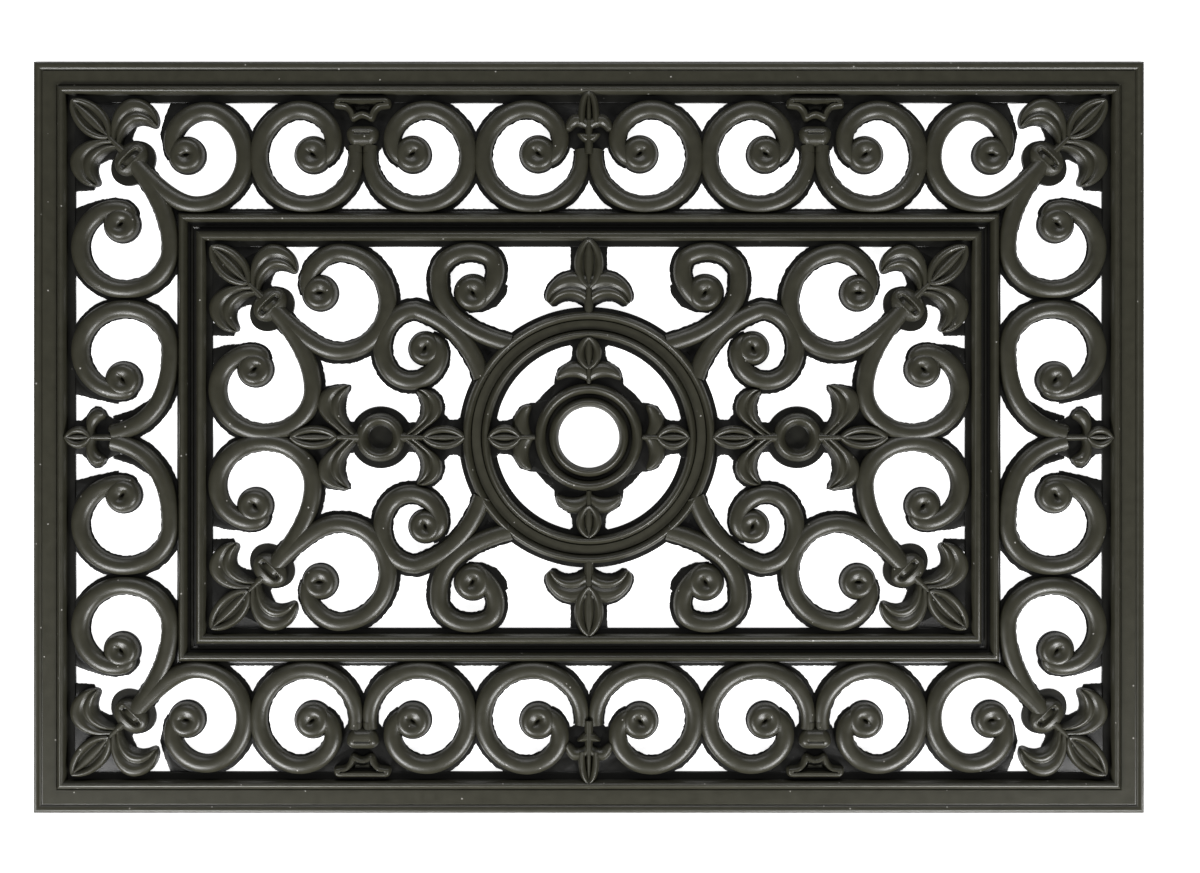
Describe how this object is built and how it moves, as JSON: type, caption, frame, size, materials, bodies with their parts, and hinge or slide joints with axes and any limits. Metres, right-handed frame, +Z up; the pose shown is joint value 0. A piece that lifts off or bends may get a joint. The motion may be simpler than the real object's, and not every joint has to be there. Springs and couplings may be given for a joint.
{
  "type": "doormat",
  "caption": "Rectangular openwork rubber doormat moulded as scrollwork, with a beaded border, an inner frame, leaf ornaments at the corners and a round medallion with an open hub.",
  "frame": {"origin": "centre of the underside, on the floor", "axes": "+X along the length, +Y along the width, +Z up out of the floor"},
  "size_m": [0.904, 0.612, 0.012],
  "materials": {
    "rubber": "satin"
  },
  "bodies": {
    "root": {"outer_border": "rubber", "inner_frame": "rubber", "medallion_ring": "rubber", "medallion_hub": "rubber", "hub_fleur_north": "rubber", "hub_fleur_west": "rubber", "hub_fleur_south": "rubber", "hub_fleur_east": "rubber", "band_fleur_north": "rubber", "field_fleur_north": "rubber", "band_fleur_south": "rubber", "field_fleur_south": "rubber", "band_fleur_east": "rubber", "star_east": "rubber", "band_fleur_west": "rubber", "star_west": "rubber", "end_scroll_inner_ne": "rubber", "end_scroll_middle_ne": "rubber", "end_scroll_outer_ne": "rubber", "crown_collar_ne": "rubber", "side_scroll_ne": "rubber", "corner_scrolls_ne": "rubber", "corner_fleur_ne": "rubber", "field_corner_fleur_ne": "rubber", "field_corner_scrolls_ne": "rubber", "field_scroll_lower_ne": "rubber", "field_scroll_upper_ne": "rubber", "end_scroll_inner_nw": "rubber", "end_scroll_middle_nw": "rubber", "end_scroll_outer_nw": "rubber", "crown_collar_nw": "rubber", "side_scroll_nw": "rubber", "corner_scrolls_nw": "rubber", "corner_fleur_nw": "rubber", "field_corner_fleur_nw": "rubber", "field_corner_scrolls_nw": "rubber", "field_scroll_lower_nw": "rubber", "field_scroll_upper_nw": "rubber", "end_scroll_inner_sw": "rubber", "end_scroll_middle_sw": "rubber", "end_scroll_outer_sw": "rubber", "crown_collar_sw": "rubber", "side_scroll_sw": "rubber", "corner_scrolls_sw": "rubber", "corner_fleur_sw": "rubber", "field_corner_fleur_sw": "rubber", "field_corner_scrolls_sw": "rubber", "field_scroll_lower_sw": "rubber", "field_scroll_upper_sw": "rubber", "end_scroll_inner_se": "rubber", "end_scroll_middle_se": "rubber", "end_scroll_outer_se": "rubber", "crown_collar_se": "rubber", "side_scroll_se": "rubber", "corner_scrolls_se": "rubber", "corner_fleur_se": "rubber", "field_corner_fleur_se": "rubber", "field_corner_scrolls_se": "rubber", "field_scroll_lower_se": "rubber", "field_scroll_upper_se": "rubber"}
  },
  "joints": []
}
